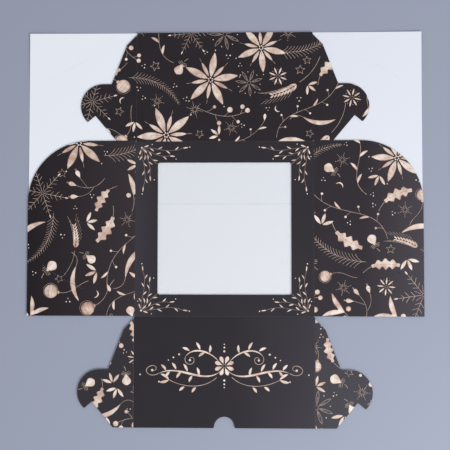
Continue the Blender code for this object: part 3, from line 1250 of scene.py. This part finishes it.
def print_over_crease(pair, inks):
    """Carry the print across an upright crease, down into its groove."""
    _, middle, gap, start, end = creases[pair]
    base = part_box(pair[0])[1].z
    bays = []
    for number in range(crease_cuts + 1):
        left = middle - gap / 2 + number * gap / (crease_cuts + 1)
        right = left + gap / (crease_cuts + 1)
        spots = ((left, start, 0), (right, start, 0), (right, end, 0), (left, end, 0))
        bays.append([Vector(spot) for spot in spots])
    piece = raised_print(pair[1] + "_crease_print", inks, bays, base)
    for corner in piece.data.vertices:
        corner.co.z -= strip_groove * (1 - (2 * (corner.co.x - middle) / gap) ** 2)
    half = gap / 2 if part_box(pair[1])[1].x > middle + gap else -gap / 2
    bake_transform(piece, *pair, start=(middle - half, start, base), end=(middle + half, start, base))


# %% [markdown]
# ## All-over print
# The back wall, the lid's side flaps and all upper ears carry the scattered pattern. The wide
# panels get the large flowers, and the small ears only motifs that fit them. The back wall and
# its two ears are one stretch of the sheet, so the pattern runs on over their creases.

# %% Pattern on the panels
pattern_areas = [
    (11, wide_order, ("back_wall", "back_left_ear", "back_right_ear")),
    (21, flap_order, ("lid_left_flap",)), (22, flap_order, ("lid_right_flap",)),
    (31, ear_order, ("lid_front_left_ear",)), (32, ear_order, ("lid_front_right_ear",)),
]
for seed, order, panels in pattern_areas:
    inks = fresh_inks()
    low, high = flat_box([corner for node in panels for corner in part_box(node)])
    laid = scatter(inks, low, high, seed, order)
    for node in panels:
        print_on(node, inks)
    for pair in creases:
        if pair[0] in panels and pair[1] in panels:
            print_over_crease(pair, inks)
    print(panels[0], "motifs", laid)

# %% [markdown]
# ## The lid's window frame and front
# Round the window the board stays plain black, with one spray of small leaves in each corner.
# A spray is drawn once for the upper left corner and mirrored into the other three, as a
# designer would. The front carries one wide flourish: its right half is drawn and mirrored, so
# that both halves match.

# %% Corner spray
# each stem's curve and how many leaves it carries
spray_stems = (
    ([(6, -6), (16, -4), (30, -12), (43, -6)], 4), ([(6, -6), (13, -9), (22, -15), (31, -13)], 3),
    ([(6, -6), (11, -11), (14, -17), (21, -21)], 2), ([(6, -6), (9, -13), (15, -22), (13, -31)], 3),
    ([(6, -6), (4, -16), (12, -28), (7, -41)], 4),
)
# X, Y and radius
spray_dots = (
    (49.5, -5, 0.6), (37, -16, 0.5), (26, -24, 0.5), (17, -35, 0.5), (6, -48, 0.6),
    (15, -2.5, 0.5), (2.5, -14, 0.5), (5.5, -5.5, 0.9),
)


def corner_spray(pen):
    for stem, drops in spray_stems:
        pen.line(stem, 0.18, 12)
        for _, x, y, heading, side in twigs_along(stem, drops):
            drop = out_from(x, y, heading + 34 * side, 5.4, bow=-0.1 * side, start=0.8)
            pen.wash(drop, 1.1, leaf, 5, 0.55)
        pen.wash(out_from(*stem[3], heading, 5.2, start=0.2), 1.25, leaf, 5, 0.65)
    for angle in (18, -45, -108):
        pen.wash(out_from(5.5, -5.5, angle, 6.6, start=1.6), 1.3, petal, 6, 0.6)
    for x, y, radius in spray_dots:
        pen.dot(x, y, radius, 0.8, 8)


lid_low, lid_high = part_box("lid_panel")
lid_inks = fresh_inks()
for flips in ((1, 1), (-1, 1), (1, -1), (-1, -1)):
    corner_x = lid_low.x if flips[0] > 0 else lid_high.x
    corner_y = lid_high.y if flips[1] > 0 else lid_low.y
    stamp(lid_inks, corner_spray, corner_x, corner_y, flips=flips)
print_on("lid_panel", lid_inks)


# %% Front flourish
# X, Y, heading in degrees and length
flourish_leaves = (
    (12, 9.6, 96, 7), (19, 12, 62, 7.5), (27, 11.4, 24, 7), (15, 10.8, -34, 6.5), (20, -8.6, 76, 7.5),
    (29, -5.2, 62, 7.5), (38, -3.6, 58, 7), (46, -4.0, 48, 6.5), (25, -7.2, -62, 6.5),
    (34, -4.6, -52, 6.5), (43, -4.2, -54, 6.0), (22, -16.4, -52, 6.0), (31, -16.2, -38, 6.0),
)
flourish_dots = ((36, 9, 0.8), (40.5, 6.6, 0.65), (44.5, 4.4, 0.5), (67, -7, 0.7), (52, -12.6, 0.7))


def half_flourish(pen):
    # upper scroll
    pen.wash([(4, 3), (12, 13), (26, 15), (31, 7)], 1.3, leaf, 18, 0.55)
    pen.line([(31, 7), (33, 1), (25, -1), (24, 4)], 0.45, 12)
    pen.line([(24, 4), (23.6, 7.4), (28, 7.4), (27.6, 4.6)], 0.4, 10)
    pen.dot(27.4, 4.4, 0.9, 0.8, 12)
    # lower scroll
    pen.wash([(3, -4), (16, -16), (36, 2), (52, -6)], 1.7, leaf, 24, 0.45)
    pen.line([(52, -6), (61, -11), (66, -2), (58, 0)], 0.5, 14)
    pen.line([(58, 0), (53, 1), (53, -4.6), (57, -3.8)], 0.42, 10)
    pen.dot(57.4, -3.6, 1.0, 0.8, 12)
    # under-curve
    pen.line([(6, -9), (16, -19), (34, -17), (44, -11)], 0.45, 16)
    pen.wash(out_from(44, -11, 34, 8, bow=0.12), 2.2, leaf, 8, 0.6)
    pen.wash(out_from(44, -11, -14, 8, bow=-0.12), 2.2, leaf, 8, 0.4)
    for x, y, angle, reach in flourish_leaves:
        blade = out_from(x, y, angle, reach, bow=0.1, start=0.7)
        pen.wash(blade, 2.1, leaf, 8, 0.35 + (x % 7) * 0.06)
    for x, y, radius in flourish_dots:
        pen.dot(x, y, radius, 0.75, 10)


def flourish_centre(pen):
    for number, angle in enumerate(spokes(8, 22.5)):
        pen.wash(spoke(angle, 8.0, start=2.0), 3.2, petal, 8, 0.45 + 0.2 * (number % 2))
    pen.ring(0, 0, 1.2)
    for reach, radius in ((11.5, 0.9), (14.5, 0.7), (17.0, 0.5)):
        pen.dot(0, reach, radius, 0.7, 10)
        pen.dot(0, -reach, radius, 0.7, 10)


flourish_drop = 0.044
flourish_size = 1.14
flourish_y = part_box("lid_front_panel")[1].y - flourish_drop
front_inks = fresh_inks()
for flip in (1, -1):
    stamp(front_inks, half_flourish, 0, flourish_y, size=flourish_size, flips=(flip, 1))
stamp(front_inks, flourish_centre, 0, flourish_y, size=flourish_size)
print_on("lid_front_panel", front_inks)

low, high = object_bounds()
{"cad": [list(carton_low), list(carton_high)], "visual": [list(low), list(high)]}
